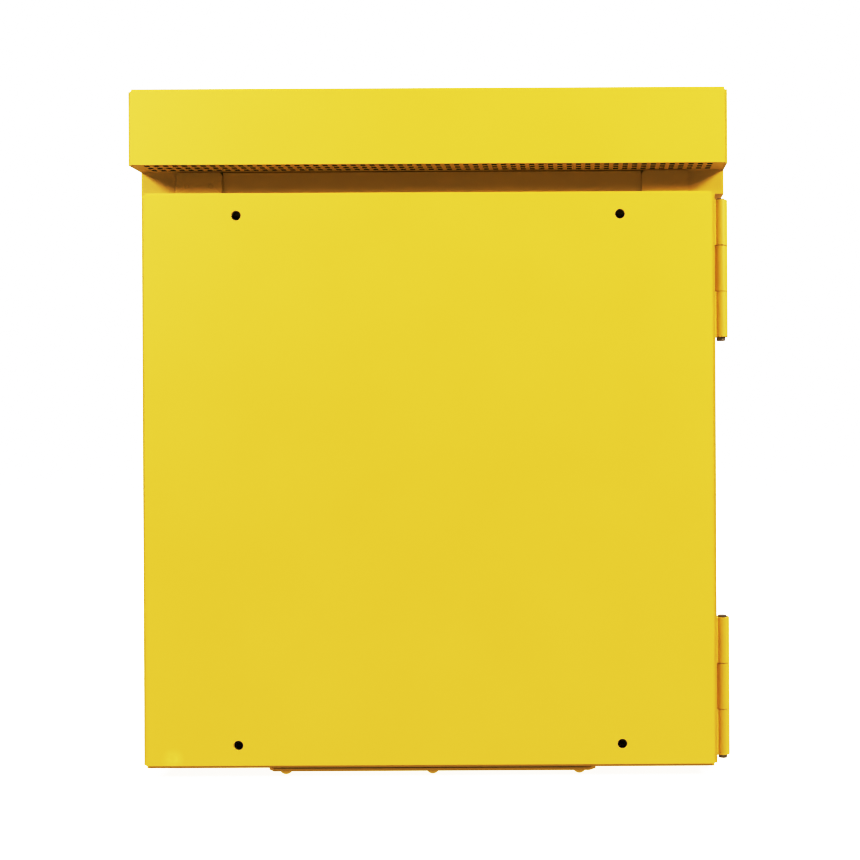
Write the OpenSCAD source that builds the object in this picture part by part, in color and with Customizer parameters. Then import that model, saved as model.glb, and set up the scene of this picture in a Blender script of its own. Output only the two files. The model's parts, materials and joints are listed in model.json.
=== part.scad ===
// Sheet-steel wall mailbox: hooded cap with a posting flap, side-hinged emptying door, side cam lock.
// Millimetres. +Z is up, -Y is the front, the hinges are on +X, and Z = 0 is under the domed bolt heads.

/* [Cabinet] */
// Width of the body over its side walls
body_w = 416.4; // [400:0.2:430]
// Depth from the hood's front to the back wall
depth = 206; // [180:1:260]
// Thickness of the door, cap and body sheet
sheet = 1.9; // [1.5:0.1:2.5]
// Height of the door's lower edge above the ground
door_z = 8; // [8:0.5:12]
// Height of the door
door_h = 418.7; // [380:0.1:440]
// Width of the door
door_w = 417.4; // [400:0.2:430]
// Depth of the door pan
door_d = 20; // [16:1:24]

/* [Cap] */
// Width of the cap and hood
cap_w = 436; // [430:1:450]
// Height of the cap's lower edge
cap_z = 428.8; // [428:0.1:432]
// Height of the hood's lower edge
hood_z = 446.9; // [446:0.1:450]
// Height of the top of the cap
top_z = 502.5; // [495:0.5:520]
// How far the hood stands forward of the body
hood_out = 22.7; // [22:0.1:30]

/* [Vent] */
// Pitch of the vent holes, both ways
vent_pitch = 6.85; // [6:0.05:7]
// Side of a square vent hole
vent_hole = 3.7; // [2.5:0.1:4]
// Holes in a row
vent_cols = 61; // [41:2:61]
// Rows of holes
vent_rows = 3; // [1:1:3]

/* [Door fittings] */
// Spacing of the sign holes, side to side
sign_dx = 279; // [200:1:300]
// Spacing of the sign holes, up and down
sign_dz = 385; // [300:1:390]
// Diameter of a sign hole
sign_hole = 6.8; // [5:0.1:8]
// Spacing of the two door stiffeners
stiff_dx = 245; // [200:1:250]

/* [Hinges] */
// Outside diameter of the hinge barrel
barrel_d = 10.16; // [9.6:0.02:10.2]
// Diameter of the hinge pin
pin_d = 6.35; // [5:0.05:7]
// Length of a hinge
hinge_l = 101.6; // [90:0.1:104]
// Running clearance on a radius
run = 0.05; // [0.02:0.01:0.1]

/* [Posting flap] */
// Width of the posting slot
slot_w = 316; // [312:1:318]
// Gap round the flap at its ends
flap_gap = 0.5; // [0.4:0.1:0.8]

/* [Mounting] */
// Spacing of the wall holes, side to side
wall_dx = 320; // [200:1:340]
// Spacing of the wall holes, up and down
wall_dz = 340; // [200:1:360]
// Diameter of a wall hole
wall_hole = 9; // [7:0.5:10]

/* [Hidden] */
$fn = 48;
eps = 0.5;

// Cabinet
front = -depth / 2;
back = depth / 2;
body_f = front + hood_out;
body_z = 6;
mid_z = door_z + door_h / 2;
cap_in = cap_w / 2 - sheet;
body_in = body_w / 2 - sheet;
frame_lip = 20;
open_z0 = body_z + 22;
open_z1 = 412;
back_upturn = 10;
drain_r = 3;
drain_dx = 360;
drain_y0 = front + 40;
drain_y1 = back - 30;

// Hood and header
soffit_flange = 14;
sill_flange = 10;
vent_lap = 10;
vent_y0 = front + 4.1;
screen_t = 0.5;
screen_z = hood_z + sheet;
screen_in = 3;
clip_xs = [-165, -55, 55, 165];
clip_w = 12;
clip_t = 1;
baffle_t = 1.5;
baffle_y0 = body_f + 27;
baffle_z0 = hood_z + 8;
baffle_y1 = back - 92;
baffle_z1 = 405;

// Posting flap
slot_z0 = cap_z + 1.5;
flap_t = 1.5;
flap_y = body_f + 0.3;
flap_z0 = slot_z0 + 0.9;
flap_z1 = hood_z - 0.6;
flap_notch = 1.6;
rod_r = 1.6;
rod_y = body_f + 5;
rod_z = hood_z - 3.7;
sleeve_r = 2.9;
sleeve_l = 22;
sleeve_xs = [-140, -47, 47, 140];
ear_x = slot_w / 2 + 2;
ear_t = 2.4;
bracket_x = 173.9;
bracket_w = 34.6;
bracket_z0 = cap_z + 0.4;
bracket_z1 = hood_z - 0.7;
bracket_r = 3;
rivet_r = 1.6;
rivet_tail_r = 2.6;
rivet_dx = 18;
rivet_z = 436;

// Door
door_lip = 14;
gasket_t = 2.4;
gasket_out = 3;
gasket_in = 13;
hat_t = 1.5;
hat_h = 12;
hat_top = 10.5;
hat_foot = 22;
hat_end = 30;

// Hinges
hinge_x = body_w / 2 + 6.2;
hinge_y = front + 16;
knuckle = hinge_l / 3;
knuckle_gap = 0.15;
upper_z = 320.8;
lower_z = 12.6;
pin_below = 2.5;
pin_above = 0.9;
web_x = hinge_x - 3.6;
leaf_t = 3;
leaf_l = 34;

// Lock
guard_x = hinge_x + barrel_d / 2;
guard_r = 17;
guard_hole_r = 12.5;
lock_y = front + 45;
lock_z = 217.5;
lock_r = 9.5;
head_r = 11.5;
head_t = 3;
housing_l = 30.2;
nut_r = 14;
nut_t = 4;
plug_r = 6;
plug_in = 0.4;
key_w = 1.6;
key_h = 6.8;
key_l = 12.6;
shank = 7;
cam_x = -178;
cam_t = 3;
cam_l = 38;
cam_w = 16;
screw_r = 2;
screw_l = 8;
screw_head_r = 6;
screw_head_t = 2.2;
strike_x0 = -181;
strike_x1 = -171;
strike_x2 = -151;
strike_t = 2;
strike_y = lock_y + 8.6;
strike_z0 = lock_z + 16.5;
strike_z1 = lock_z + 42.5;

// Base
base_w = 240;
base_t = 2;
base_clip = 4.5;
base_f = front + 6;
base_b = back - 4;
base_dx = 108;
base_y0 = front + 34;
base_y1 = back - 22;
bolt_r = 3.2;
bolt_hole_r = 3.3;
bolt_head_r = 7;
bolt_top = 17;
washer_r = 7;
washer_t = 1.5;
bolt_nut_r = 6.3;
bolt_nut_t = 5;
strip_y = base_f + 7;
strip_rivet_r = 2.4;
strip_hole_r = 2.5;
strip_head_r = 5;
strip_t = 1.4;
strip_in = 9;
grommet_r = 7.5;
grommet_t = 1.5;

// Colours
yellow = [0.92, 0.83, 0.19];
zinc = [0.72, 0.72, 0.70];
steel = [0.45, 0.44, 0.42];
black = [0.08, 0.08, 0.08];

// A box given by its low and high corners
module block(lo, hi) translate(lo) cube([hi[0] - lo[0], hi[1] - lo[1], hi[2] - lo[2]]);

// A round bar or bore along X, Y or Z from point p
module rod_x(p, r, l) translate(p) rotate([0, 90, 0]) cylinder(h = l, r = r);
module rod_y(p, r, l) translate(p) rotate([-90, 0, 0]) cylinder(h = l, r = r);
module rod_z(p, r, l) translate(p) cylinder(h = l, r = r);

// Places its children at the four corners of a rectangle in the XZ plane
module corners_xz(dx, dz, z) for (sx = [-1, 1], sz = [-1, 1])
    translate([sx * dx / 2, 0, z + sz * dz / 2]) children();

// Places its children at the six base bolts
module at_base_bolts() for (x = [-base_dx, 0, base_dx], y = [base_y0, base_y1])
    translate([x, y, 0]) children();

// Places its children at the rivets on the base plate's front edge
module at_strip_rivets() for (x = [-base_dx, 0, base_dx]) translate([x, strip_y, 0]) children();

// Places its children at the four bracket rivets
module at_rivets() for (side = [-1, 1], s = [-1, 1])
    translate([side * bracket_x + s * rivet_dx / 2, 0, rivet_z]) children();

// The body's two sides and back, bent from one sheet, with the lock hole and the wall holes
module body_wrapper() color(yellow) difference() {
    block([-body_w / 2, body_f, body_z], [body_w / 2, back, hood_z]);
    block([-body_in, body_f - eps, body_z - eps], [body_in, back - sheet, hood_z + eps]);
    rod_x([-body_w / 2 - eps, lock_y, lock_z], lock_r, sheet + 2 * eps);
    block([-body_w, body_f - eps, cap_z], [body_w, body_f + sheet, hood_z + eps]);
    corners_xz(wall_dx, wall_dz, mid_z) rod_y([0, back - sheet - eps, 0], wall_hole / 2, sheet + 2 * eps);
}

// The floor, with a short upturned flange at the back and drain holes
module floor_pan() color(yellow) difference() {
    union() {
        block([-body_in, body_f + sheet, body_z], [body_in, back - sheet, body_z + sheet]);
        block([-body_in, back - 2 * sheet, body_z], [body_in, back - sheet, body_z + back_upturn]);
    }
    at_base_bolts() rod_z([0, 0, body_z - eps], bolt_hole_r, sheet + 2 * eps);
    for (x = [-drain_dx / 2, drain_dx / 2], y = [drain_y0, drain_y1])
        rod_z([x, y, body_z - eps], drain_r, sheet + 2 * eps);
}

// The flat frame round the door opening that the gasket closes on
module front_frame() color(yellow) difference() {
    block([-body_in, body_f, body_z], [body_in, body_f + sheet, cap_z]);
    block([-body_in + frame_lip, body_f - eps, open_z0],
        [body_in - frame_lip, body_f + sheet + eps, open_z1]);
}

// The cap: top, back, sides and hood front in one folded shell, with lips that close on the body
module top_cap() color(yellow) difference() {
    block([-cap_w / 2, front, cap_z], [cap_w / 2, back, top_z]);
    block([-cap_in, front + sheet, cap_z + sheet], [cap_in, back - sheet, top_z - sheet]);
    block([-cap_w / 2 - eps, front - eps, cap_z - eps], [cap_w / 2 + eps, body_f + sheet, hood_z]);
    block([-body_w / 2, body_f, cap_z - eps], [body_w / 2, back + eps, hood_z]);
}

// One of the two ears behind the header, standing in a slit in its upper flange
module ear(side, grow) translate([side * ear_x, 0, 0])
    block([-ear_t / 2, body_f + sheet, rod_z - 5], [ear_t / 2, body_f + 9, rod_z + 3 + grow]);

// The header across the front of the body, with the posting slot in it
module header_panel() color(yellow) difference() {
    union() {
        block([-cap_w / 2, body_f, cap_z], [cap_w / 2, body_f + sheet, hood_z]);
        block([-body_in, body_f + sheet, hood_z - sheet], [body_in, body_f + soffit_flange, hood_z]);
        block([-body_in, body_f + sheet, cap_z], [body_in, body_f + sill_flange, cap_z + sheet]);
    }
    block([-slot_w / 2, body_f - eps, slot_z0], [slot_w / 2, body_f + soffit_flange + eps, hood_z + eps]);
    block([-slot_w / 2, body_f + sheet, cap_z - eps], [slot_w / 2, body_f + sill_flange + eps, slot_z0 + eps]);
    at_rivets() rod_y([0, body_f - eps, 0], rivet_r, sheet + 2 * eps);
    for (side = [-1, 1]) ear(side, 2);
}

// The perforated strip that closes the underside of the hood
module vent_strip() color(yellow) translate([0, 0, hood_z]) linear_extrude(sheet) difference() {
    translate([-cap_in, front + sheet]) square([2 * cap_in, hood_out + vent_lap - sheet]);
    for (i = [0 : vent_cols - 1], j = [0 : vent_rows - 1])
        translate([(i - (vent_cols - 1) / 2) * vent_pitch, vent_y0 + j * vent_pitch])
            square(vent_hole, center = true);
}

// The fine screen above the vent strip, as one thin sheet
module insect_screen() color(steel) block(
    [-cap_in + screen_in, front + sheet + 0.6, screen_z],
    [cap_in - screen_in, body_f - 1, screen_z + screen_t]);

// Four stepped clips that hold the screen down at its back edge
module screen_clips() color(zinc) for (x = clip_xs) {
    block([x - clip_w / 2, body_f - 6, screen_z + screen_t],
        [x + clip_w / 2, body_f + 9, screen_z + screen_t + clip_t]);
    block([x - clip_w / 2, body_f + 1, screen_z], [x + clip_w / 2, body_f + 9, screen_z + screen_t]);
}

// A sloping plate behind the slot that turns the mail down and keeps hands out
module mail_baffle() color(yellow) translate([-body_in, 0, 0]) rotate([90, 0, 90]) linear_extrude(2 * body_in)
    polygon([
        [baffle_y0, baffle_z0], [baffle_y0 + baffle_t, baffle_z0],
        [baffle_y1 + baffle_t, baffle_z1], [baffle_y1, baffle_z1]
    ]);

// A plate with two rounded top corners, standing in the XZ plane
module round_top_plate(w, z0, z1, r, t) rotate([90, 0, 0]) mirror([0, 0, 1]) linear_extrude(t) union() {
    translate([-w / 2, z0]) square([w, z1 - z0 - r]);
    translate([-w / 2 + r, z0]) square([w - 2 * r, z1 - z0]);
    for (s = [-1, 1]) translate([s * (w / 2 - r), z1 - r]) circle(r);
}

// One flap bracket: a face plate that laps the end of the slot and stops the flap's edge
module flap_bracket(side) color(yellow) difference() {
    translate([side * bracket_x, body_f - flap_t, 0])
        round_top_plate(bracket_w, bracket_z0, bracket_z1, bracket_r, flap_t);
    at_rivets() rod_y([0, body_f - flap_t - eps, 0], rivet_r, flap_t + 2 * eps);
}
module flap_bracket_left() flap_bracket(-1);
module flap_bracket_right() flap_bracket(1);

// Rivets through the brackets and the header, filed flush at the front
module bracket_rivets() color(yellow) at_rivets() {
    rod_y([0, body_f - flap_t, 0], rivet_r, flap_t + sheet);
    rod_y([0, body_f + sheet, 0], rivet_tail_r, 1);
}

// The flap: a flat plate in the slot, with four short sleeves that turn on the rod and two top
// corners cut away so that they clear the brackets as the flap swings in
module posting_flap() color(yellow) difference() {
    union() {
        block([-slot_w / 2 + flap_gap, flap_y, flap_z0], [slot_w / 2 - flap_gap, flap_y + flap_t, flap_z1]);
        for (x = sleeve_xs) {
            rod_x([x - sleeve_l / 2, rod_y, rod_z], sleeve_r, sleeve_l);
            block([x - sleeve_l / 2, body_f + 1, rod_z - sleeve_r],
                [x + sleeve_l / 2, rod_y, rod_z - rod_r - 0.3]);
        }
    }
    rod_x([-slot_w / 2, rod_y, rod_z], rod_r + run, slot_w);
    for (side = [-1, 1]) translate([side * slot_w / 2, 0, 0])
        block([-flap_notch, flap_y - eps, rod_z + 1], [flap_notch, flap_y + flap_t + eps, hood_z]);
}

// The rod that the flap turns on
module flap_rod() color(steel) rod_x([-slot_w / 2 - 4, rod_y, rod_z], rod_r, slot_w + 8);

// The two ears that hold the rod's ends
module rod_ears() color(yellow) for (side = [-1, 1]) difference() {
    ear(side, 0);
    rod_x([side * ear_x - ear_t, rod_y, rod_z], rod_r, 2 * ear_t);
}

// The door: a pan with four returns, four inner lips and four sign holes
module door_panel() color(yellow) difference() {
    block([-door_w / 2, front, door_z], [door_w / 2, front + door_d, door_z + door_h]);
    block([-door_w / 2 + sheet, front + sheet, door_z + sheet],
        [door_w / 2 - sheet, front + door_d - sheet, door_z + door_h - sheet]);
    block([-door_w / 2 + door_lip, front + door_d - sheet - eps, door_z + door_lip],
        [door_w / 2 - door_lip, front + door_d + eps, door_z + door_h - door_lip]);
    corners_xz(sign_dx, sign_dz, mid_z) rod_y([0, front - eps, 0], sign_hole / 2, sheet + 2 * eps);
}

// A slab over the door's inner face, a given distance in from its edges
module door_slab(inset, y0, y1) block(
    [-door_w / 2 + inset, y0, door_z + inset], [door_w / 2 - inset, y1, door_z + door_h - inset]);

// The rubber gasket on the door's inner lips
module door_gasket() color(black) difference() {
    door_slab(gasket_out, front + door_d, front + door_d + gasket_t);
    door_slab(gasket_in, front + door_d - eps, front + door_d + gasket_t + eps);
}

// One hat-section stiffener, spot-welded to the back of the door skin
module door_stiffener(x) color(yellow) translate([x, front + sheet, door_z + hat_end])
    linear_extrude(door_h - 2 * hat_end) difference() {
        union() {
            translate([-hat_foot, 0]) square([2 * hat_foot, hat_t]);
            translate([-hat_top, 0]) square([2 * hat_top, hat_h]);
        }
        translate([-hat_top + hat_t, -eps]) square([2 * (hat_top - hat_t), hat_h - hat_t + eps]);
    }
module door_stiffener_left() door_stiffener(-stiff_dx / 2);
module door_stiffener_right() door_stiffener(stiff_dx / 2);

// The strike: an angle bracket on the door with a hooked end that the cam stands in front of
module door_strike() color(zinc) {
    block([strike_x1, front + sheet, strike_z0], [strike_x2, front + 2 * sheet, strike_z1]);
    block([strike_x1, front + sheet, strike_z0], [strike_x1 + strike_t, strike_y + strike_t, strike_z1]);
    block([strike_x0, strike_y, strike_z0], [strike_x1 + strike_t, strike_y + strike_t, strike_z1]);
}

// The door's two knuckles of one hinge, on a web that is welded to the door's return
module door_knuckles(z) color(yellow) for (k = [0, 2]) difference() {
    union() {
        rod_z([hinge_x, hinge_y, z + k * knuckle + knuckle_gap], barrel_d / 2, knuckle - 2 * knuckle_gap);
        block([door_w / 2, hinge_y - 4, z + k * knuckle + knuckle_gap],
            [web_x, hinge_y + 2.5, z + (k + 1) * knuckle - knuckle_gap]);
    }
    rod_z([hinge_x, hinge_y, z - eps], pin_d / 2 + run, hinge_l + 2 * eps);
}
module door_knuckles_upper() door_knuckles(upper_z);
module door_knuckles_lower() door_knuckles(lower_z);

// The body's leaf of one hinge: the middle knuckle and the plate welded to the body's side
module body_hinge(z) color(yellow) difference() {
    union() {
        rod_z([hinge_x, hinge_y, z + knuckle + knuckle_gap], barrel_d / 2, knuckle - 2 * knuckle_gap);
        block([hinge_x - barrel_d / 2 + 0.2, hinge_y + 2, z + knuckle + knuckle_gap],
            [hinge_x - 2.4, body_f + leaf_t, z + 2 * knuckle - knuckle_gap]);
        block([body_w / 2, body_f + 1, z], [body_w / 2 + leaf_t, body_f + leaf_l, z + hinge_l]);
    }
    rod_z([hinge_x, hinge_y, z - eps], pin_d / 2, hinge_l + 2 * eps);
}
module body_hinge_upper() body_hinge(upper_z);
module body_hinge_lower() body_hinge(lower_z);

// One hinge pin, which stands out of both ends of its barrel
module hinge_pin(z) color(steel)
    rod_z([hinge_x, hinge_y, z - pin_below], pin_d / 2, pin_below + hinge_l + pin_above);
module hinge_pin_upper() hinge_pin(upper_z);
module hinge_pin_lower() hinge_pin(lower_z);

// The steel ring welded round the lock so that it can't be gripped
module lock_guard_ring() color(yellow) difference() {
    rod_x([-guard_x, lock_y, lock_z], guard_r, guard_x - body_w / 2);
    rod_x([-guard_x - eps, lock_y, lock_z], guard_hole_r, guard_x);
}

// The cam lock's fixed body with its round head
module lock_housing() color(zinc) difference() {
    union() {
        rod_x([-body_w / 2 - head_t, lock_y, lock_z], head_r, head_t);
        rod_x([-body_w / 2 - head_t, lock_y, lock_z], lock_r - run, housing_l);
    }
    rod_x([-body_w / 2 - head_t - eps, lock_y, lock_z], plug_r + run, housing_l + 2 * eps);
}

// The ring nut that clamps the lock from inside
module lock_nut() color(zinc) difference() {
    translate([-body_in, lock_y, lock_z]) rotate([0, 90, 0]) cylinder(h = nut_t, r = nut_r, $fn = 6);
    rod_x([-body_in - eps, lock_y, lock_z], lock_r, nut_t + 2 * eps);
}

// The turning plug with its keyway, and the square shank that the cam sits on
module lock_plug() color(zinc) difference() {
    union() {
        rod_x([-body_w / 2 - head_t + plug_in, lock_y, lock_z],
            plug_r, cam_x + body_w / 2 + head_t - plug_in);
        block([cam_x, lock_y - shank / 2, lock_z - shank / 2],
            [cam_x + cam_t - plug_in, lock_y + shank / 2, lock_z + shank / 2]);
    }
    block([-body_w / 2 - head_t, lock_y - key_h / 2, lock_z - key_w / 2],
        [-body_w / 2 - head_t + key_l + plug_in, lock_y + key_h / 2, lock_z + key_w / 2]);
    rod_x([cam_x - screw_l, lock_y, lock_z], screw_r, screw_l + cam_t + eps);
}

// The flat cam, which points to the door while unlocked and up in front of the strike's hook while locked
module lock_cam() color(zinc) difference() {
    union() {
        rod_x([cam_x, lock_y, lock_z], cam_w / 2, cam_t);
        block([cam_x, lock_y - cam_l, lock_z - cam_w / 2], [cam_x + cam_t, lock_y, lock_z + cam_w / 2]);
    }
    block([cam_x - eps, lock_y - shank / 2, lock_z - shank / 2],
        [cam_x + cam_t + eps, lock_y + shank / 2, lock_z + shank / 2]);
}

// The screw that holds the cam on the plug
module cam_screw() color(zinc) {
    rod_x([cam_x + cam_t, lock_y, lock_z], screw_head_r, screw_head_t);
    rod_x([cam_x - screw_l, lock_y, lock_z], screw_r, screw_l + cam_t);
}

// The base plate under the floor, with clipped front corners
module base_plate() color(yellow) translate([0, 0, body_z - base_t]) difference() {
    linear_extrude(base_t) polygon([
        [-base_w / 2, base_f + base_clip], [-base_w / 2 + base_clip, base_f],
        [base_w / 2 - base_clip, base_f], [base_w / 2, base_f + base_clip],
        [base_w / 2, base_b], [-base_w / 2, base_b]
    ]);
    at_base_bolts() rod_z([0, 0, -eps], bolt_hole_r, base_t + 2 * eps);
    at_strip_rivets() rod_z([0, 0, -eps], strip_hole_r, base_t + 2 * eps);
}

// A low dome of radius r that rises to height h, upside down, with its flat side up
module dome(r, h) intersection() {
    translate([0, 0, (r * r + h * h) / (2 * h)]) sphere((r * r + h * h) / (2 * h));
    cylinder(h = h, r = r);
}

// The domed bolts through the base plate and floor, on whose heads the mailbox stands
module base_bolts() color(yellow) at_base_bolts() {
    dome(bolt_head_r, body_z - base_t);
    rod_z([0, 0, base_t], bolt_r, bolt_top - base_t);
}

// The three domed rivets that hold the rubber strip on the plate's front edge
module strip_rivets() color(yellow) at_strip_rivets() {
    dome(strip_head_r, body_z - base_t);
    rod_z([0, 0, base_t], strip_rivet_r, body_z + 0.6 - base_t);
}

// The rubber strip that the door's lower edge passes over, on the front of the base plate
module door_rest_strip() color(black) difference() {
    block([-base_w / 2 + strip_in, base_f + 2, body_z],
        [base_w / 2 - strip_in, base_f + 13, body_z + strip_t]);
    at_strip_rivets() rod_z([0, 0, body_z - eps], strip_hole_r, strip_t + 2 * eps);
}

// Flat washers on the floor under the nuts
module base_washers() color(zinc) at_base_bolts() difference() {
    rod_z([0, 0, body_z + sheet], washer_r, washer_t);
    rod_z([0, 0, body_z], bolt_r, sheet + washer_t + eps);
}

// Hex nuts on the washers
module base_nuts() color(zinc) at_base_bolts() difference() {
    translate([0, 0, body_z + sheet + washer_t]) cylinder(h = bolt_nut_t, r = bolt_nut_r, $fn = 6);
    rod_z([0, 0, body_z], bolt_r, sheet + washer_t + bolt_nut_t + eps);
}

// Rubber grommets in the four wall holes
module wall_grommets() color(black) corners_xz(wall_dx, wall_dz, mid_z) difference() {
    rod_y([0, back - sheet - grommet_t, 0], grommet_r, grommet_t);
    rod_y([0, back - sheet - grommet_t - eps, 0], wall_hole / 2, grommet_t + 2 * eps);
}

body_wrapper();
floor_pan();
front_frame();
top_cap();
header_panel();
vent_strip();
insect_screen();
screen_clips();
mail_baffle();
flap_bracket_left();
flap_bracket_right();
bracket_rivets();
posting_flap();
flap_rod();
rod_ears();
door_panel();
door_gasket();
door_stiffener_left();
door_stiffener_right();
door_strike();
door_knuckles_upper();
door_knuckles_lower();
body_hinge_upper();
body_hinge_lower();
hinge_pin_upper();
hinge_pin_lower();
lock_guard_ring();
lock_housing();
lock_nut();
lock_plug();
lock_cam();
cam_screw();
base_plate();
base_bolts();
base_washers();
base_nuts();
strip_rivets();
door_rest_strip();
wall_grommets();
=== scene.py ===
"""Looks of a sheet-steel wall mailbox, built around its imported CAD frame.

The frame gives the size and place of every part. Each class below dresses one sub-assembly: it rounds
the folded sheet, lays the weld beads, weaves the screen and gives each piece its finish.
"""

import json
import logging
import math
from dataclasses import dataclass, field
from enum import Enum
from typing import Iterable

import bmesh
import bpy
from mathutils import Matrix, Vector

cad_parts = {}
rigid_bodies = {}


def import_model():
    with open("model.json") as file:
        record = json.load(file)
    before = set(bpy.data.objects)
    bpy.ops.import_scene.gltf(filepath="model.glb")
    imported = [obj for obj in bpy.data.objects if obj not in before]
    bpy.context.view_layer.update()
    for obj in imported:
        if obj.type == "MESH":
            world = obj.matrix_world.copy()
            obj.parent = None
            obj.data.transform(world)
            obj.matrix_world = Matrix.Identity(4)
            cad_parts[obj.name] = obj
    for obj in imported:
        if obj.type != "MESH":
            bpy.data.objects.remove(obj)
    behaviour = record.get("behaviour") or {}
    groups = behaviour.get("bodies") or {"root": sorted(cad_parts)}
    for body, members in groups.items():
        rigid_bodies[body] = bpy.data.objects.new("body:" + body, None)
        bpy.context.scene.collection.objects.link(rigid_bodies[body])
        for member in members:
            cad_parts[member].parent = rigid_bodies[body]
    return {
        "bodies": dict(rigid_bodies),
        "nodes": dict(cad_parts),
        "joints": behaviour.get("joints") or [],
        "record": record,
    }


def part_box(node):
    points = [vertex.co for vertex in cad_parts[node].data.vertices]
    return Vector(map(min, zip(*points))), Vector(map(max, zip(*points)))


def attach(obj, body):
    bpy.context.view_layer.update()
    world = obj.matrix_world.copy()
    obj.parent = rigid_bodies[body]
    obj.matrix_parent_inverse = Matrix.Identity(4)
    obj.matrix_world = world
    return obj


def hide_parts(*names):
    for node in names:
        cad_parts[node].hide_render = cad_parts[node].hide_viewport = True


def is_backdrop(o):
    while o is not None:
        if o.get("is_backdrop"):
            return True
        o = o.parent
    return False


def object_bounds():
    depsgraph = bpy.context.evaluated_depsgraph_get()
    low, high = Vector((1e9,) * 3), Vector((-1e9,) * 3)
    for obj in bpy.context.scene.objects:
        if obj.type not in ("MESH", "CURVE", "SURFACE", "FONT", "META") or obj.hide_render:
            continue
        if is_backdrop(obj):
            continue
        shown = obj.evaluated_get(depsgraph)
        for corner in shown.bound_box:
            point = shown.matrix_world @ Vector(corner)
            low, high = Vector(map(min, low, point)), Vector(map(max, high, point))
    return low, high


LOG = logging.getLogger("mailbox")
MM = 0.001
SAME_PLACE = 1e-5
SAME_POINT = 1e-6
HALF_PI = math.pi / 2
Vec3 = tuple[float, float, float]


class Body(Enum):
    """The moving bodies of the frame."""

    CABINET = "cabinet"
    DOOR = "door"
    FLAP = "flap"
    CAM = "cam"


class Fold(Enum):
    """Which edges of a node's box are folds in the sheet."""

    NONE = "none"
    PAN = "pan"
    CAP = "cap"
    WRAP = "wrap"
    FACE = "face"


# ---------------------------------------------------------------------------------------------------
# Node trees
# ---------------------------------------------------------------------------------------------------


def linear(colour: str) -> tuple[float, float, float, float]:
    """Turns an sRGB hex colour into a linear one.

    Args:
        colour: Six hex digits after a hash.

    Returns:
        Red, green, blue and an alpha of one, all linear.
    """
    channels = [int(colour[i : i + 2], 16) / 255 for i in (1, 3, 5)]
    return (*[c / 12.92 if c <= 0.04045 else ((c + 0.055) / 1.055) ** 2.4 for c in channels], 1.0)


def colour_output(node: bpy.types.Node) -> bpy.types.NodeSocket:
    """Finds the colour output of a Mix node, which has one output for each type."""
    return next(s for s in node.outputs if s.type == "RGBA")


def add_node(
    tree: bpy.types.NodeTree,
    kind: str,
    inputs: dict[str | int, object] | None = None,
    **settings: object,
) -> bpy.types.Node:
    """Adds one node with its settings, values and links.

    Args:
        tree: The tree that gets the node.
        kind: The node's Blender type.
        inputs: Socket name or index to a value, or to an output socket that is linked to it.
        **settings: Attributes set on the node itself.

    Returns:
        The new node.
    """
    node = tree.nodes.new(kind)
    for name, value in settings.items():
        setattr(node, name, value)
    for name, value in (inputs or {}).items():
        socket = node.inputs[name]
        if isinstance(value, bpy.types.NodeSocket):
            tree.links.new(value, socket)
        else:
            socket.default_value = value
    return node


class GeometryTree:
    """A Geometry Nodes tree with named inputs, which is run once and turned into plain meshes."""

    def __init__(self, name: str) -> None:
        """Starts an empty tree with a geometry output."""
        self.tree = bpy.data.node_groups.new(name, "GeometryNodeTree")
        self.tree.interface.new_socket("Geometry", in_out="OUTPUT", socket_type="NodeSocketGeometry")
        self.sockets: dict[str, str] = {}
        self.group_in = self.tree.nodes.new("NodeGroupInput")

    def add_input(self, name: str, kind: str) -> bpy.types.NodeSocket:
        """Adds a named input.

        Args:
            name: The input's name.
            kind: The socket type.

        Returns:
            The group input's socket, ready to link.
        """
        item = self.tree.interface.new_socket(name, in_out="INPUT", socket_type=kind)
        self.sockets[name] = item.identifier
        return next(s for s in self.group_in.outputs if s.identifier == item.identifier)

    def add(
        self, kind: str, inputs: dict[str | int, object] | None = None, **settings: object
    ) -> bpy.types.Node:
        """Adds a node to this tree, in the way of add_node."""
        return add_node(self.tree, kind, inputs, **settings)

    def close(
        self, geometry: bpy.types.NodeSocket, material: bpy.types.Material, round_faces: bool = True
    ) -> None:
        """Ends the tree in Realize Instances and Set Material.

        Args:
            geometry: The last geometry.
            material: The finish it gets.
            round_faces: Whether the faces are shaded as one round surface.
        """
        real = self.add("GeometryNodeRealizeInstances", {0: geometry})
        smooth = self.add("GeometryNodeSetShadeSmooth", {0: real.outputs[0], "Shade Smooth": round_faces})
        dressed = self.add("GeometryNodeSetMaterial", {"Geometry": smooth.outputs[0], "Material": material})
        self.add("NodeGroupOutput", {0: dressed.outputs[0]})

    def run(self, name: str, values: dict[str, object], body: Body) -> bpy.types.Object:
        """Runs the tree once and keeps the result as a plain mesh on a body.

        Args:
            name: The piece's name.
            values: Input name to value.
            body: The body that the piece rides on.

        Returns:
            The finished piece.
        """
        piece = new_object(name, bpy.data.meshes.new(name))
        modifier = piece.modifiers.new("tree", "NODES")
        modifier.node_group = self.tree
        for key, value in values.items():
            modifier[self.sockets[key]] = value
        bake_modifiers(piece)
        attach(piece, body.value)
        LOG.info("%s: %d faces", name, len(piece.data.polygons))
        return piece


# ---------------------------------------------------------------------------------------------------
# Mesh helpers
# ---------------------------------------------------------------------------------------------------


def new_object(name: str, mesh: bpy.types.Mesh) -> bpy.types.Object:
    """Links a new object with this mesh at the origin."""
    piece = bpy.data.objects.new(name, mesh)
    bpy.context.scene.collection.objects.link(piece)
    return piece


def bake_modifiers(piece: bpy.types.Object) -> None:
    """Replaces a piece's mesh by its evaluated one and drops its modifiers."""
    graph = bpy.context.evaluated_depsgraph_get()
    graph.update()
    mesh = bpy.data.meshes.new_from_object(piece.evaluated_get(graph), depsgraph=graph)
    piece.modifiers.clear()
    piece.data = mesh


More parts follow.
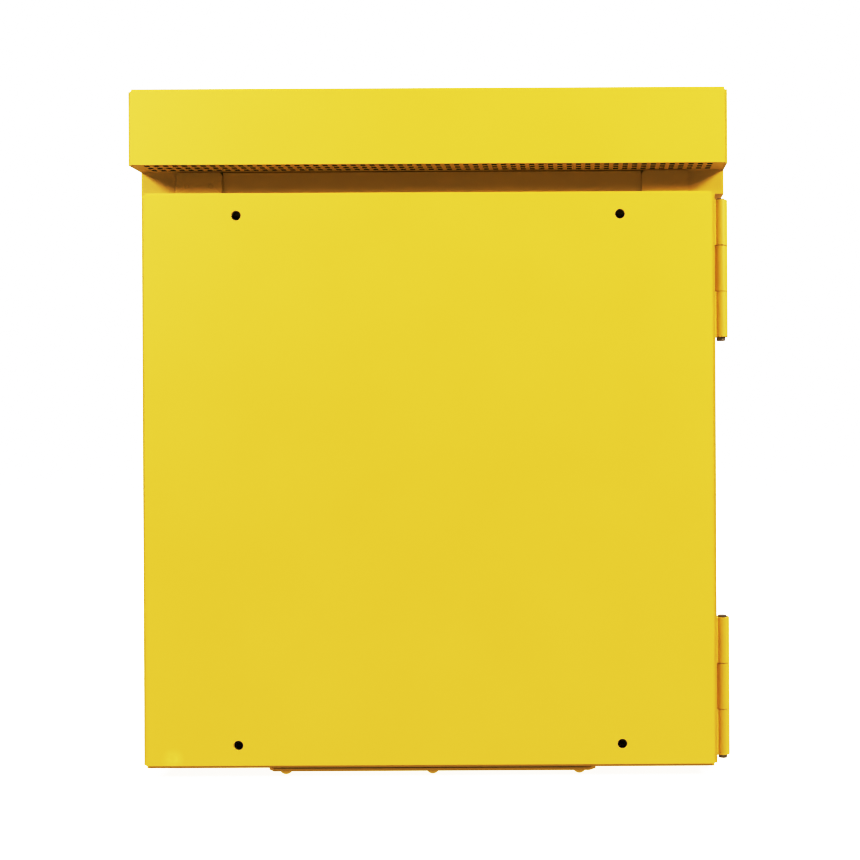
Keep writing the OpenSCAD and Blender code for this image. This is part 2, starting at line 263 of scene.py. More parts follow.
def even_normals(piece: bpy.types.Object, angle: float = 32.0) -> None:
    """Shades a piece smooth over its rounds and flat over its sheet.

    Args:
        piece: The piece to shade.
        angle: The angle in degrees past which an edge stays sharp.
    """
    piece.data.shade_smooth()
    piece.data.set_sharp_from_angle(angle=math.radians(angle))
    modifier = piece.modifiers.new("weighted", "WEIGHTED_NORMAL")
    modifier.keep_sharp = True
    modifier.weight = 100
    bake_modifiers(piece)


@dataclass
class SheetCopy:
    """A copy of a CAD node with rounded folds and eased edges.

    Attributes:
        node: The CAD node it stands for.
        body: The body it rides on.
        fold: Which edges are folds.
        radius: Outside radius of a fold, in metres.
        ease: Width of the eased edges, in metres.
        steps: Segments in a fold.
        seam: The node behind whose front sheet it starts, or its own name; edges there stay sharp.
        gauge: Thickness of the sheet at that seam, in metres.
        flat_angle: Faces that meet within this angle, in degrees, count as one flat.
        sharp_angle: Edges that turn further than this, in degrees, are eased.
    """

    node: str
    body: Body
    fold: Fold = Fold.NONE
    radius: float = 2.2 * MM
    ease: float = 0.3 * MM
    steps: int = 6
    seam: str = ""
    gauge: float = 1.9 * MM
    flat_angle: float = 0.6
    sharp_angle: float = 30.0

    def is_fold(self, edge: bmesh.types.BMEdge, low: Vector, high: Vector) -> bool:
        """Says whether an edge is one of the sheet's folds.

        Args:
            edge: The edge to test.
            low: The node's lowest corner.
            high: The node's highest corner.

        Returns:
            True for a fold.
        """
        if self.fold is Fold.NONE:
            return False
        at = {}
        for axis, name in enumerate("xyz"):
            for side, limit in (("-", low[axis]), ("+", high[axis])):
                at[side + name] = all(abs(v.co[axis] - limit) < SAME_PLACE for v in edge.verts)
        side = at["-x"] or at["+x"]
        if self.fold is Fold.FACE:
            return side and at["-y"]
        if self.fold is Fold.PAN:
            rim = side or at["-z"] or at["+z"]
            return (rim and (at["-y"] or at["+y"])) or (side and (at["-z"] or at["+z"]))
        if self.fold is Fold.CAP:
            return (at["+z"] and (side or at["-y"] or at["+y"])) or (side and (at["-y"] or at["+y"]))
        return side and at["+y"]

    def build(self, material: bpy.types.Material) -> bpy.types.Object:
        """Makes the rounded copy and puts it in the node's place.

        Args:
            material: The finish of the copy.

        Returns:
            The finished piece.
        """
        low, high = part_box(self.node)
        mesh = bpy.data.objects[self.node].data.copy()
        work = bmesh.new()
        work.from_mesh(mesh)
        bmesh.ops.remove_doubles(work, verts=work.verts, dist=SAME_POINT)
        bmesh.ops.dissolve_limit(
            work, angle_limit=math.radians(self.flat_angle), verts=work.verts, edges=work.edges
        )
        folds = [e for e in work.edges if len(e.link_faces) == 2 and self.is_fold(e, low, high)]
        made: set[bmesh.types.BMFace] = set()
        if folds:
            result = bmesh.ops.bevel(
                work, geom=folds, offset=self.radius, segments=self.steps, affect="EDGES", clamp_overlap=False
            )
            made = set(result["faces"])
        sharp = [e for e in work.edges if self.is_free_edge(e, made)]
        if sharp and self.ease:
            bmesh.ops.bevel(
                work, geom=sharp, offset=self.ease, segments=2, affect="EDGES", clamp_overlap=True
            )
        bmesh.ops.triangulate(work, faces=[f for f in work.faces if len(f.verts) > 4])
        work.to_mesh(mesh)
        work.free()
        mesh.materials.clear()
        mesh.materials.append(material)
        piece = new_object(f"{self.node}_sheet", mesh)
        even_normals(piece)
        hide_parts(self.node)
        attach(piece, self.body.value)
        LOG.info("%s: %d faces", piece.name, len(piece.data.polygons))
        return piece

    def is_free_edge(self, edge: bmesh.types.BMEdge, made: set[bmesh.types.BMFace]) -> bool:
        """Says whether an edge is a sharp outer edge that no fold or seam touches.

        Args:
            edge: The edge to test.
            made: The faces of the rounded folds.

        Returns:
            True for an edge to ease.
        """
        if len(edge.link_faces) != 2 or any(f in made for v in edge.verts for f in v.link_faces):
            return False
        if self.seam:
            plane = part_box(self.seam)[0].y + self.gauge
            if all(abs(v.co.y - plane) < SAME_PLACE for v in edge.verts):
                return False
        return edge.calc_face_angle_signed(0.0) > math.radians(self.sharp_angle)


# ---------------------------------------------------------------------------------------------------
# Finishes
# ---------------------------------------------------------------------------------------------------


@dataclass(frozen=True)
class Finish:
    """A finish with one colour pair that drifts over the piece and a fine grain in its surface.

    Attributes:
        name: The material's name.
        slot: The record's material slot.
        light: The lighter colour, sRGB hex.
        dark: The darker colour, sRGB hex.
        drift: Size of a patch of colour, in metres.
        roughness: Roughness of the surface.
        spread: How far roughness drifts to each side.
        metallic: One for bare metal.
        coat: Weight of a clear coat.
        grain: Size of one bump of the grain, in metres.
        height: Height of the grain, in metres.
        coat_roughness: Roughness of the clear coat.
    """

    name: str
    slot: str
    light: str
    dark: str
    drift: float
    roughness: float
    spread: float
    metallic: float
    coat: float
    grain: float
    height: float
    coat_roughness: float = 0.22

    def build(self) -> bpy.types.Material:
        """Makes the material.

        Returns:
            The material, with its colour, roughness and bump set by noise on object coordinates.
        """
        material = bpy.data.materials.new(self.name)
        material.use_nodes = True
        tree = material.node_tree
        tree.nodes.clear()
        where = add_node(tree, "ShaderNodeTexCoord").outputs["Object"]
        patch = add_node(
            tree, "ShaderNodeTexNoise", {"Vector": where, "Scale": 1 / self.drift, "Detail": 3.0}
        )
        colour = add_node(
            tree,
            "ShaderNodeMix",
            {"Factor": patch.outputs["Fac"], "A": linear(self.dark), "B": linear(self.light)},
            data_type="RGBA",
        )
        colour_out = self.mark(tree, where, colour_output(colour))
        rough = add_node(
            tree,
            "ShaderNodeMapRange",
            {
                "Value": patch.outputs["Fac"],
                "To Min": self.roughness - self.spread,
                "To Max": self.roughness + self.spread,
            },
        )
        grain = add_node(
            tree, "ShaderNodeTexNoise", {"Vector": where, "Scale": 1 / self.grain, "Detail": 2.0}
        )
        bump = add_node(
            tree, "ShaderNodeBump", {"Height": grain.outputs["Fac"], "Strength": 1.0, "Distance": self.height}
        )
        shader = add_node(
            tree,
            "ShaderNodeBsdfPrincipled",
            {
                "Base Color": colour_out,
                "Roughness": rough.outputs[0],
                "Metallic": self.metallic,
                "Coat Weight": self.coat,
                "Coat Roughness": self.coat_roughness,
                "Normal": bump.outputs["Normal"],
            },
        )
        add_node(tree, "ShaderNodeOutputMaterial", {"Surface": shader.outputs[0]})
        return material

    def mark(
        self, tree: bpy.types.NodeTree, where: bpy.types.NodeSocket, colour: bpy.types.NodeSocket
    ) -> bpy.types.NodeSocket:
        """Leaves the colour as it is; a finish with marks on it draws them here.

        Args:
            tree: The material's tree.
            where: Object coordinates.
            colour: The drifting colour.

        Returns:
            The colour to use.
        """
        return colour


@dataclass(frozen=True)
class PowderCoat(Finish):
    """Baked polyester powder on steel: even yellow, satin, with a fine orange peel and a faint rubbed patch.

    Attributes:
        rub_at: Centre of the rubbed patch.
        rub_size: Its radius.
        rub_core: The part of the radius that is fully rubbed.
        rub_share: How much of the patch's colour shows at its centre.
        rub_streak: Size of a streak in it, in metres.
        rub: The patch's colour, sRGB hex.
    """

    rub_at: Vec3 = (0.0, 0.0, 0.0)
    rub_size: float = 9 * MM
    rub_core: float = 0.3
    rub_share: float = 0.5
    rub_streak: float = 4 * MM
    rub: str = "#F2DC63"

    def mark(
        self, tree: bpy.types.NodeTree, where: bpy.types.NodeSocket, colour: bpy.types.NodeSocket
    ) -> bpy.types.NodeSocket:
        """Lightens the colour in the rubbed patch.

        Args:
            tree: The material's tree.
            where: Object coordinates.
            colour: The coat's colour.

        Returns:
            The colour with the patch on it.
        """
        far = add_node(tree, "ShaderNodeVectorMath", {0: where, 1: self.rub_at}, operation="DISTANCE")
        near = add_node(
            tree,
            "ShaderNodeMapRange",
            {
                "Value": far.outputs["Value"],
                "From Min": self.rub_size * self.rub_core,
                "From Max": self.rub_size,
                "To Min": self.rub_share,
                "To Max": 0.0,
            },
        )
        streak = add_node(
            tree, "ShaderNodeTexNoise", {"Vector": where, "Scale": 1 / self.rub_streak, "Detail": 4.0}
        )
        amount = add_node(
            tree, "ShaderNodeMath", {0: near.outputs[0], 1: streak.outputs["Fac"]}, operation="MULTIPLY"
        )
        mixed = add_node(
            tree,
            "ShaderNodeMix",
            {"Factor": amount.outputs[0], "A": colour, "B": linear(self.rub)},
            data_type="RGBA",
        )
        return colour_output(mixed)


class Palette:
    """Every material of the mailbox, made once."""

    def __init__(self, front: float) -> None:
        """Makes the materials.

        Args:
            front: The Y of the door's front face.
        """
        # Polyester powder over pretreated steel: satin, with grain about a millimetre across.
        coat = PowderCoat(
            "yellow_polyester_powder", "yellow_coat", "#DCBC43", "#D9B93F",
            drift=60 * MM, roughness=0.52, spread=0.04, metallic=0.0,
            coat=0.1, grain=1.1 * MM, height=0.012 * MM,
            rub_at=(-187 * MM, front, 15 * MM),
        )
        # Electroplated zinc: a grey mirror broken by fine crystals and faint drawing lines.
        zinc = Finish(
            "bright_zinc_plate", "zinc_steel", "#C9CAC6", "#B4B5B2",
            drift=7 * MM, roughness=0.3, spread=0.08, metallic=1.0,
            coat=0.0, grain=0.5 * MM, height=0.006 * MM,
        )
        # Die-cast zinc under chrome: nearly a mirror.
        chrome = Finish(
            "polished_chrome", "lock_chrome", "#D8D8D8", "#CFCFD0",
            drift=20 * MM, roughness=0.12, spread=0.03, metallic=1.0,
            coat=0.0, grain=2 * MM, height=0.001 * MM,
        )
        # Cold-drawn rod left bare: brown-grey with a thin oxide.
        pin = Finish(
            "bare_drawn_rod", "bare_pin_steel", "#A3937C", "#6B5B48",
            drift=2.5 * MM, roughness=0.42, spread=0.12, metallic=0.85,
            coat=0.0, grain=0.4 * MM, height=0.01 * MM,
        )
        # Galvanised wire, dulled by weather and darkened further as painted shade inside the closed hood. The
        # painted-shade linings of the vent holes borrow it for its dark tone.
        wire = Finish(
            "dull_wire_and_painted_shade", "screen_steel", "#655848", "#4A4036",
            drift=5 * MM, roughness=0.5, spread=0.08, metallic=1.0,
            coat=0.0, grain=0.3 * MM, height=0.002 * MM,
        )
        # EPDM foam: matte black with open cells.
        rubber = Finish(
            "epdm_foam", "black_rubber", "#1C1B1A", "#111110",
            drift=6 * MM, roughness=0.82, spread=0.05, metallic=0.0,
            coat=0.0, grain=0.7 * MM, height=0.05 * MM,
        )
        finishes = [coat, zinc, chrome, pin, wire, rubber]
        self.by_slot = {f.slot: f.build() for f in finishes}
        self.coat = self.by_slot[coat.slot]
        self.wire = self.by_slot[wire.slot]


# ---------------------------------------------------------------------------------------------------
# Sub-assemblies
# ---------------------------------------------------------------------------------------------------


@dataclass
class SheetWork:
    """Every folded or cut sheet, as rounded copies of the CAD nodes.

    Attributes:
        palette: The finishes.
        sheets: The copies to make.
    """

    palette: Palette
    sheets: list[SheetCopy] = field(
        default_factory=lambda: [
            SheetCopy("door_panel", Body.DOOR, Fold.PAN, 2.2 * MM),
            SheetCopy("top_cap", Body.CABINET, Fold.CAP, 2.0 * MM, seam="header_panel"),
            SheetCopy("body_wrapper", Body.CABINET, Fold.WRAP, 2.4 * MM),
            SheetCopy("front_frame", Body.CABINET),
            SheetCopy("header_panel", Body.CABINET, Fold.FACE, 1.8 * MM, seam="header_panel"),
            SheetCopy("floor_pan", Body.CABINET),
            SheetCopy("mail_baffle", Body.CABINET),
            SheetCopy("flap_bracket_left", Body.CABINET),
            SheetCopy("flap_bracket_right", Body.CABINET),
            SheetCopy("posting_flap", Body.FLAP, ease=0.25 * MM),
            SheetCopy("rod_ears", Body.CABINET),
            SheetCopy("door_stiffener_left", Body.DOOR),
            SheetCopy("door_stiffener_right", Body.DOOR),
            SheetCopy("base_plate", Body.CABINET),
            SheetCopy("door_knuckles_upper", Body.DOOR, ease=0.4 * MM),
            SheetCopy("door_knuckles_lower", Body.DOOR, ease=0.4 * MM),
            SheetCopy("body_hinge_upper", Body.CABINET, ease=0.4 * MM),
            SheetCopy("body_hinge_lower", Body.CABINET, ease=0.4 * MM),
            SheetCopy("lock_guard_ring", Body.CABINET, ease=0.8 * MM),
        ]
    )

    def build(self) -> None:
        """Makes every rounded copy in the powder coat."""
        for sheet in self.sheets:
            piece = sheet.build(self.palette.coat)


@dataclass
class Fittings:
    """CAD nodes that keep their own mesh and get a finish.

    Attributes:
        palette: The finishes.
        replaced: The nodes that another piece stands for.
    """

    palette: Palette
    replaced: Iterable[str]

    def build(self, frame: dict) -> None:
        """Gives each remaining node the material of its slot.

        Args:
            frame: The loaded frame.
        """
        slots = {s["node"]: s["material_slot"] for s in frame["record"]["subparts"]}
        for name, node in frame["nodes"].items():
            if name in self.replaced:
                continue
            node.data.materials.clear()
            node.data.materials.append(self.palette.by_slot[slots[name]])


@dataclass
class Welds:
    """The painted weld beads of the hinges, as rows of overlapping ripples.

    Attributes:
        palette: The finishes.
        pitch: From one ripple to the next, in metres.
        knuckle_radius: Radius of the beads beside the door's knuckles, in metres.
        knuckle_out: How far such a bead's middle stands off the door's side, in metres.
        knuckle_back: How far it lies behind the front of the knuckles, in metres.
        knuckle_end: How much of a knuckle each end of its bead leaves bare, in metres.
        leaf_radius: Radius of the beads behind the body's leaves, in metres.
        leaf_out: How far such a bead's middle stands off the body's side, in metres.
        leaf_end: How much of a leaf each end of its bead leaves bare, in metres.
    """

    palette: Palette
    pitch: float = 1.5 * MM
    knuckle_radius: float = 1.3 * MM
    knuckle_out: float = 0.3 * MM
    knuckle_back: float = 1.2 * MM
    knuckle_end: float = 2.5 * MM
    leaf_radius: float = 1.7 * MM
    leaf_out: float = 0.6 * MM
    leaf_end: float = 3 * MM

    def tree(self) -> GeometryTree:
        """Makes the tree for one bead: a line of balls, each a little unlike the next.

        Returns:
            The tree, closed and ready to run.
        """
        made = GeometryTree("weld_bead")
        count = made.add_input("Count", "NodeSocketInt")
        start = made.add_input("Start", "NodeSocketVector")
        step = made.add_input("Step", "NodeSocketVector")
        size = made.add_input("Radius", "NodeSocketFloat")
        line = made.add(
            "GeometryNodeMeshLine", {"Count": count, "Start Location": start, "Offset": step}, mode="OFFSET"
        )
        ball = made.add("GeometryNodeMeshIcoSphere", {"Radius": size, "Subdivisions": 3})
        jitter = made.add(
            "FunctionNodeRandomValue", {"Min": (0.86, 0.86, 0.86), "Max": (1.08, 1.08, 1.08), "Seed": 7},
            data_type="FLOAT_VECTOR",
        )
        ripples = made.add(
            "GeometryNodeInstanceOnPoints",
            {"Points": line.outputs[0], "Instance": ball.outputs[0], "Scale": jitter.outputs[0]},
        )
        made.close(ripples.outputs[0], self.palette.coat)
        return made

    def build(self) -> None:
        """Lays a bead beside every knuckle and leaf."""
        tree = self.tree()
        door_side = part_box("door_panel")[1].x
        body_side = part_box("body_wrapper")[1].x
        for level in ("upper", "lower"):
            low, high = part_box(f"door_knuckles_{level}")
            third = (high.z - low.z) / 3
            for n, base in enumerate((low.z, low.z + 2 * third)):
                spot = Vector(
                    (door_side + self.knuckle_out, low.y + self.knuckle_back, base + self.knuckle_end)
                )
                run = Vector((0, 0, third - 2 * self.knuckle_end))
                self.bead(tree, f"{level}_knuckle_weld_{n}", spot, run, self.knuckle_radius, Body.DOOR)
            low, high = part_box(f"body_hinge_{level}")
            spot = Vector((body_side + self.leaf_out, high.y, low.z + self.leaf_end))
            run = Vector((0, 0, high.z - low.z - 2 * self.leaf_end))
            self.bead(tree, f"{level}_leaf_weld", spot, run, self.leaf_radius, Body.CABINET)

    def bead(
        self, tree: GeometryTree, name: str, start: Vector, run: Vector, radius: float, body: Body
    ) -> None:
        """Lays one bead.

        Args:
            tree: The bead tree.
            name: The piece's name.
            start: Where the bead starts.
            run: From its start to its end.
            radius: Its radius, in metres.
            body: The body it rides on.
        """
        count = round(run.length / self.pitch)
        values = {"Count": count, "Start": start, "Step": run / count, "Radius": radius}
        piece = tree.run(name, values, body)


@dataclass
class SpotMarks:
    """The faint round marks that the stiffeners' spot welds leave in the door's face.

    Attributes:
        palette: The finishes.
        rows: Marks over each stiffener.
        row_gap: From one mark to the next below it, in metres.
        radius: A mark's radius, in metres.
        flat: The share of the radius that is flat, in a mark's middle.
        proud: A mark's full height, of which half stands out of the face, in metres.
    """

    palette: Palette
    rows: int = 3
    row_gap: float = 148.4 * MM
    radius: float = 3.4 * MM
    flat: float = 0.3
    proud: float = 0.015 * MM

    def build(self) -> None:
        """Lays two columns of marks, one over each stiffener."""
        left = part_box("door_stiffener_left")
        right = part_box("door_stiffener_right")
        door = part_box("door_panel")
        x0 = (left[0].x + left[1].x) / 2
        x1 = (right[0].x + right[1].x) / 2
        middle = (door[0].z + door[1].z) / 2
        made = GeometryTree("spot_marks")
        start = made.add_input("Start", "NodeSocketVector")
        size = made.add_input("Radius", "NodeSocketFloat")
        grid = made.add(
            "GeometryNodeMeshGrid",
            {
                "Size X": x1 - x0,
                "Size Y": self.row_gap * (self.rows - 1),
                "Vertices X": 2,
                "Vertices Y": self.rows,
            },
        )
        upright = made.add(
            "GeometryNodeTransform",
            {"Geometry": grid.outputs[0], "Translation": start, "Rotation": (HALF_PI, 0.0, 0.0)},
        )
        smaller = made.add("ShaderNodeMath", {0: size, 1: self.flat}, operation="MULTIPLY")
        cone = made.add(
            "GeometryNodeMeshCone",
            {"Vertices": 28, "Radius Top": smaller.outputs[0], "Radius Bottom": size, "Depth": self.proud},
        )
        marks = made.add(
            "GeometryNodeInstanceOnPoints",
            {"Points": upright.outputs[0], "Instance": cone.outputs[0], "Rotation": (HALF_PI, 0.0, 0.0)},
        )
        made.close(marks.outputs[0], self.palette.coat, round_faces=False)
        values = {"Start": Vector(((x0 + x1) / 2, door[0].y, middle)), "Radius": self.radius}
        piece = made.run("spot_weld_marks", values, Body.DOOR)


@dataclass
class Screen:
    """The fine wire screen that lies over the vent strip.

    Attributes:
        palette: The finishes.
        pitch: From one wire to the next, in metres.
        wire: A wire's radius, in metres.
        lift: How far a layer's middle lies from the screen's, as a share of the wire's radius.
    """

    palette: Palette
    pitch: float = 2.0 * MM
    wire: float = 0.2 * MM
    lift: float = 0.9

    def build(self) -> None:
        """Crosses two layers of wire and puts them in the plain screen's place."""
        low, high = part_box("insect_screen")
        size = high - low
        made = GeometryTree("wire_screen")
        wire = made.add_input("Wire Radius", "NodeSocketFloat")
        layers = []
        for along, across, turn in ((0, 1, (0.0, HALF_PI, 0.0)), (1, 0, (HALF_PI, 0.0, 0.0))):
            count = int(size[across] / self.pitch)
            start = (low + high) / 2
            start[across] = low[across] + (size[across] - (count - 1) * self.pitch) / 2
            start.z += (self.wire if along else -self.wire) * self.lift
            step = Vector((0.0, 0.0, 0.0))
            step[across] = self.pitch
            line = made.add(
                "GeometryNodeMeshLine",
                {"Count": count, "Start Location": start, "Offset": step},
                mode="OFFSET",
            )
            rod = made.add("GeometryNodeMeshCylinder", {"Vertices": 6, "Radius": wire, "Depth": size[along]})
            rods = made.add(
                "GeometryNodeInstanceOnPoints",
                {"Points": line.outputs[0], "Instance": rod.outputs[0], "Rotation": turn},
            )
            layers.append(rods.outputs[0])
        both = made.add("GeometryNodeJoinGeometry")
        for layer in layers:
            made.tree.links.new(layer, both.inputs[0])
        made.close(both.outputs[0], self.palette.wire)
        piece = made.run("wire_screen", {"Wire Radius": self.wire}, Body.CABINET)
        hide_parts("insect_screen")


@dataclass
class PaintedHoleShade:
    """Dark linings in the vent strip's holes: painted shade that makes the holes read dark from below.

    Attributes:
        palette: The finishes.
        columns: Holes in a row.
        rows: Rows of holes.
        pitch: From one hole to the next, in metres.
        hole: The side of a hole, in metres.
        margin: From the strip's front edge to the middle of the first row, in metres.
        wall: Thickness of a lining wall, in metres.
        gap: Clearance between the lining and the hole, in metres.
    """

    palette: Palette
    columns: int = 61
    rows: int = 3
    pitch: float = 6.85 * MM
    hole: float = 3.7 * MM
    margin: float = 2.2 * MM
    wall: float = 0.1 * MM
    gap: float = 0.02 * MM

    def build(self) -> None:
        """Lines each hole with four thin dark walls of painted shade."""
        low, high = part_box("vent_strip")
        made = GeometryTree("punched_edges")
        middle = made.add_input("Middle", "NodeSocketVector")
        ring = made.add("GeometryNodeJoinGeometry")
        outer = self.hole / 2 - self.gap
        for across in (0, 1):
            size = Vector((0.0, 0.0, high.z - low.z - 2 * self.gap))
            size[across] = self.wall
            size[1 - across] = 2 * (outer - (0.0 if across else self.wall))
            for side in (-1, 1):
                place = Vector((0.0, 0.0, 0.0))
                place[across] = side * (outer - self.wall / 2)
                plate = made.add("GeometryNodeMeshCube", {"Size": size})
                moved = made.add(
                    "GeometryNodeTransform", {"Geometry": plate.outputs[0], "Translation": place}
                )
                made.tree.links.new(moved.outputs[0], ring.inputs[0])
        grid = made.add(
            "GeometryNodeMeshGrid",
            {
                "Size X": self.pitch * (self.columns - 1),
                "Size Y": self.pitch * (self.rows - 1),
                "Vertices X": self.columns,
                "Vertices Y": self.rows,
            },
        )
        placed = made.add("GeometryNodeTransform", {"Geometry": grid.outputs[0], "Translation": middle})
        rings = made.add(
            "GeometryNodeInstanceOnPoints", {"Points": placed.outputs[0], "Instance": ring.outputs[0]}
        )
        # The dark wire finish on these linings is painted shade inside the holes.
        made.close(rings.outputs[0], self.palette.wire, round_faces=False)
        row = low.y + self.margin + self.pitch * (self.rows - 1) / 2
        values = {"Middle": Vector(((low.x + high.x) / 2, row, (low.z + high.z) / 2))}
        piece = made.run("punched_edges", values, Body.CABINET)


# ---------------------------------------------------------------------------------------------------
# Studio
# ---------------------------------------------------------------------------------------------------


@dataclass(frozen=True)
class Softbox:
    """One soft square light, aimed at the box.

    Attributes:
        name: The light's name.
        azimuth: Where it stands round the box, in degrees from the front, to the right.
        elevation: How high it stands, in degrees.
        distance: How far off it stands, in metres.
        size: The length of its side, in metres.
        watts: Its power.
        tint: Its colour, sRGB hex.
    """

    name: str
    azimuth: float
    elevation: float
    distance: float
    size: float
    watts: float
    tint: str = "#FFFFFF"

    def build(self, aim: Vector) -> None:
        """Hangs the light.

        Args:
            aim: The point it faces.
        """
        turn, rise = math.radians(self.azimuth), math.radians(self.elevation)
        away = Vector((math.sin(turn) * math.cos(rise), -math.cos(turn) * math.cos(rise), math.sin(rise)))
        light = bpy.data.lights.new(self.name, "AREA")
        light.size = self.size
        light.energy = self.watts
        light.color = linear(self.tint)[:3]
        lamp = bpy.data.objects.new(self.name, light)
        lamp.location = aim + away * self.distance
        lamp.rotation_euler = (-away).to_track_quat("-Z", "Y").to_euler()
        lamp.visible_camera = False
        bpy.context.scene.collection.objects.link(lamp)


@dataclass
class Studio:
    """A white paper floor, softboxes in front, above and behind, a tone curve and the camera.

    Attributes:
        camera_x: The camera's X, in metres.
        camera_z: Its height, in metres.
        distance: From the camera to the door's front face, in metres.
        lens: Its focal length in millimetres, on a sensor 36 mm wide.
        roll: How far it leans, in degrees.
        shift: How far its frame is shifted, in frame widths.
        room: The weak light that comes from all sides, sRGB hex.
        near_radius: Radius of the disc of floor around the box, in metres.
        far_radius: Radius of the whole floor, in metres.
        near_glow: How bright the disc glows for the camera.
        near_bounce: How much light the disc sends up to the box.
        far_bounce: How much light the rest of the floor sends up.
        bounce_tint: The colour of that light, sRGB hex.
        floor_sides: Sides of the disc and of the ring.
        white: The brightness that prints as white.
        tones: Points of the tone curve, brightness to print value.
        lights: The softboxes.
    """

    camera_x: float = 113.4 * MM
    camera_z: float = 261.9 * MM
    distance: float = 780 * MM
    lens: float = 44.96
    roll: float = -0.28
    shift: tuple[float, float] = (-0.1802, -0.0144)
    room: str = "#2A2018"
    near_radius: float = 0.75
    far_radius: float = 14.0
    near_glow: float = 1.2
    near_bounce: float = 0.74
    far_bounce: float = 0.27
    bounce_tint: str = "#FFF0DC"
    floor_sides: int = 96
    white: float = 2.0
    tones: tuple[tuple[float, float], ...] = (
        (0.01, 0.007), (0.04, 0.016), (0.1, 0.05), (0.2, 0.13), (0.35, 0.36), (0.5, 0.59), (0.65, 0.74),
        (0.9, 0.86), (1.3, 0.95)
    )
    lights: tuple[Softbox, ...] = (
        Softbox("left_softbox", -57, 30, 2.0, 0.5, 34.5),
        Softbox("right_softbox", 57, 30, 2.0, 0.5, 35.5),
        Softbox("top_softbox", 180, 68, 1.5, 0.8, 8.0),
        Softbox("back_left_softbox", -140, 35, 1.8, 0.7, 15.0),
        Softbox("back_right_softbox", 140, 35, 1.8, 0.7, 15.0),
    )

    def build(self, low: Vector, high: Vector) -> None:
        """Makes the floor, the lights and the camera.

        Args:
            low: The object's lowest corner.
            high: The object's highest corner.
        """
        self.grade()
        near = self.floor_material("white_paper", self.near_glow, self.near_bounce)
        self.floor("near_floor", 0.0, self.near_radius, near)
        far = self.floor_material("lit_white_paper", self.white, self.far_bounce)
        self.floor("far_floor", self.near_radius, self.far_radius, far)
        self.world()
        aim = Vector(((low.x + high.x) / 2, low.y, (low.z + high.z) / 2))
        for light in self.lights:
            light.build(aim)
        self.camera(low.y)

    def grade(self) -> None:
        """Sets the tone curve of a studio print: deep shadows and a soft roll-off to white."""
        view = bpy.context.scene.view_settings
        view.view_transform = "Standard"
        view.use_curve_mapping = True
        mapping = view.curve_mapping
        mapping.white_level = (self.white,) * 3
        curve = mapping.curves[3]
        for light, tone in self.tones:
            curve.points.new(light / self.white, tone)
        mapping.update()

    def floor_material(self, name: str, glow: float, bounce: float) -> bpy.types.Material:
        """Makes a white floor that glows for the camera and sends a set light up, whatever falls on it.

        Args:
            name: The material's name.
            glow: How bright it glows for the camera.
            bounce: How much light it sends up to the box.

        Returns:
            The material.
        """
        material = bpy.data.materials.new(name)
        material.use_nodes = True
        tree = material.node_tree
        tree.nodes.clear()
        paper = add_node(
            tree,
            "ShaderNodeBsdfPrincipled",
            {
                "Base Color": (0.9, 0.9, 0.9, 1.0),
                "Roughness": 0.95,
                "Specular IOR Level": 0.0,
                "Emission Color": (1.0, 1.0, 1.0, 1.0),
                "Emission Strength": glow,
            },
        )
        upward = add_node(tree, "ShaderNodeEmission", {"Color": linear(self.bounce_tint), "Strength": bounce})
        seen = add_node(tree, "ShaderNodeLightPath").outputs["Is Camera Ray"]
        both = add_node(tree, "ShaderNodeMixShader", {0: seen, 1: upward.outputs[0], 2: paper.outputs[0]})
        add_node(tree, "ShaderNodeOutputMaterial", {"Surface": both.outputs[0]})
        return material

    def floor(
        self, name: str, inner: float, outer: float, material: bpy.types.Material
    ) -> bpy.types.Object:
        """Makes a flat ring of floor under the feet.

        Args:
            name: The object's name.
            inner: Its inner radius, in metres, or zero for a disc.
            outer: Its outer radius, in metres.
            material: Its material.

        Returns:
            The ring, marked as stage.
        """
        work = bmesh.new()
        turns = [2 * math.pi * n / self.floor_sides for n in range(self.floor_sides)]
        rings = [
            [work.verts.new((radius * math.cos(t), radius * math.sin(t), 0.0)) for t in turns]
            for radius in (inner, outer)
            if radius
        ]
        if inner:
            for n in range(self.floor_sides):
                m = (n + 1) % self.floor_sides
                work.faces.new((rings[0][n], rings[1][n], rings[1][m], rings[0][m]))
        else:
            work.faces.new(rings[0])
        mesh = bpy.data.meshes.new(name)
        work.to_mesh(mesh)
        work.free()
        mesh.materials.append(material)
        plane = new_object(name, mesh)
        plane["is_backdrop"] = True
        return plane

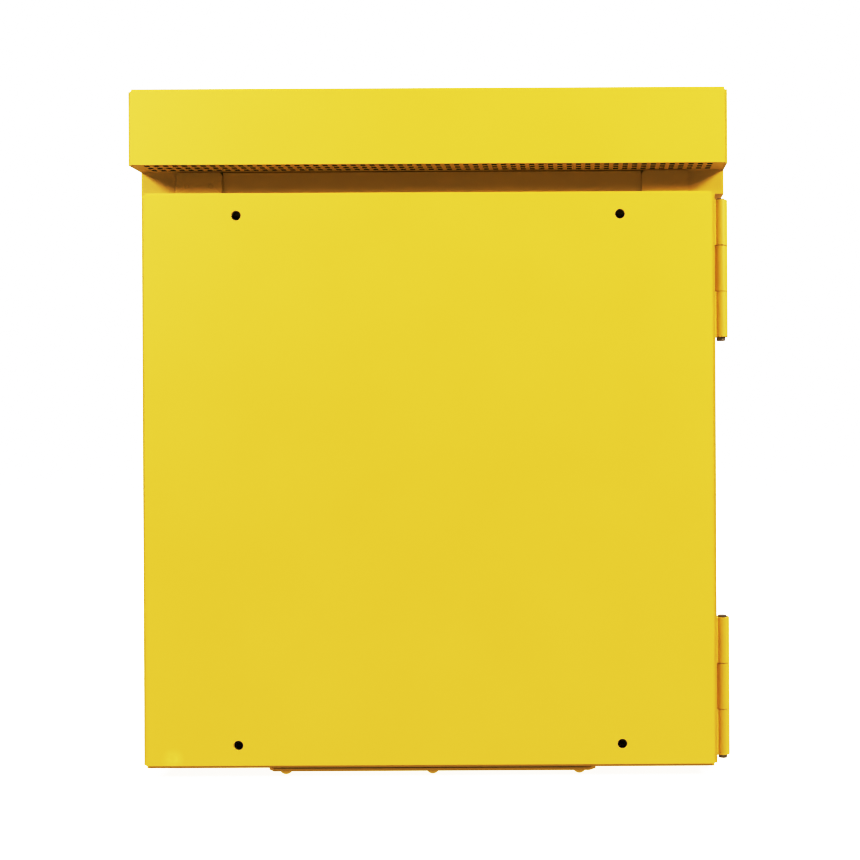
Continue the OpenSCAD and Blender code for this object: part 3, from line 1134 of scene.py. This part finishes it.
    def world(self) -> None:
        """Makes a surround that looks white, reflects as a soft gradient and lights the box only weakly."""
        world = bpy.data.worlds.new("white_surround")
        bpy.context.scene.world = world
        world.use_nodes = True
        tree = world.node_tree
        ray = add_node(tree, "ShaderNodeLightPath")
        toward = add_node(tree, "ShaderNodeTexCoord").outputs["Generated"]
        up = add_node(tree, "ShaderNodeSeparateXYZ", {0: toward})
        gloss = add_node(
            tree,
            "ShaderNodeMapRange",
            {"Value": up.outputs["Z"], "From Min": -0.4, "From Max": 0.4, "To Min": 0.08, "To Max": 0.5},
        )
        warm = add_node(
            tree,
            "ShaderNodeMix",
            {"Factor": ray.outputs["Is Glossy Ray"], "A": linear(self.room), "B": gloss.outputs[0]},
            data_type="RGBA",
        )
        seen = add_node(
            tree,
            "ShaderNodeMix",
            {
                "Factor": ray.outputs["Is Camera Ray"],
                "A": colour_output(warm),
                "B": (self.white,) * 3 + (1.0,),
            },
            data_type="RGBA",
        )
        back = tree.nodes["Background"]
        back.inputs["Strength"].default_value = 1.0
        tree.links.new(colour_output(seen), back.inputs["Color"])

    def camera(self, front: float) -> None:
        """Makes the camera, square to the front and shifted to frame the box.

        Args:
            front: The Y of the door's front face.
        """
        data = bpy.data.cameras.new("camera")
        data.lens = self.lens
        data.sensor_width = 36.0
        data.shift_x, data.shift_y = self.shift
        data.clip_start = 0.01
        data.clip_end = 100.0
        camera = bpy.data.objects.new("camera", data)
        turn = Matrix.Rotation(HALF_PI, 4, "X") @ Matrix.Rotation(math.radians(self.roll), 4, "Z")
        place = Matrix.Translation((self.camera_x, front - self.distance, self.camera_z))
        camera.matrix_world = place @ turn
        bpy.context.scene.collection.objects.link(camera)
        bpy.context.scene.camera = camera


def main() -> None:
    """Builds the mailbox around the frame, piece by piece."""
    logging.basicConfig(level=logging.INFO, format="%(message)s")
    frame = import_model()
    cad_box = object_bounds()
    low, high = cad_box
    palette = Palette(low.y)
    sheets = SheetWork(palette)
    sheets.build()
    Welds(palette).build()
    SpotMarks(palette).build()
    Screen(palette).build()
    PaintedHoleShade(palette).build()
    Fittings(palette, {s.node for s in sheets.sheets} | {"insect_screen"}).build(frame)
    Studio().build(low, high)


if __name__ == "__main__":
    main()
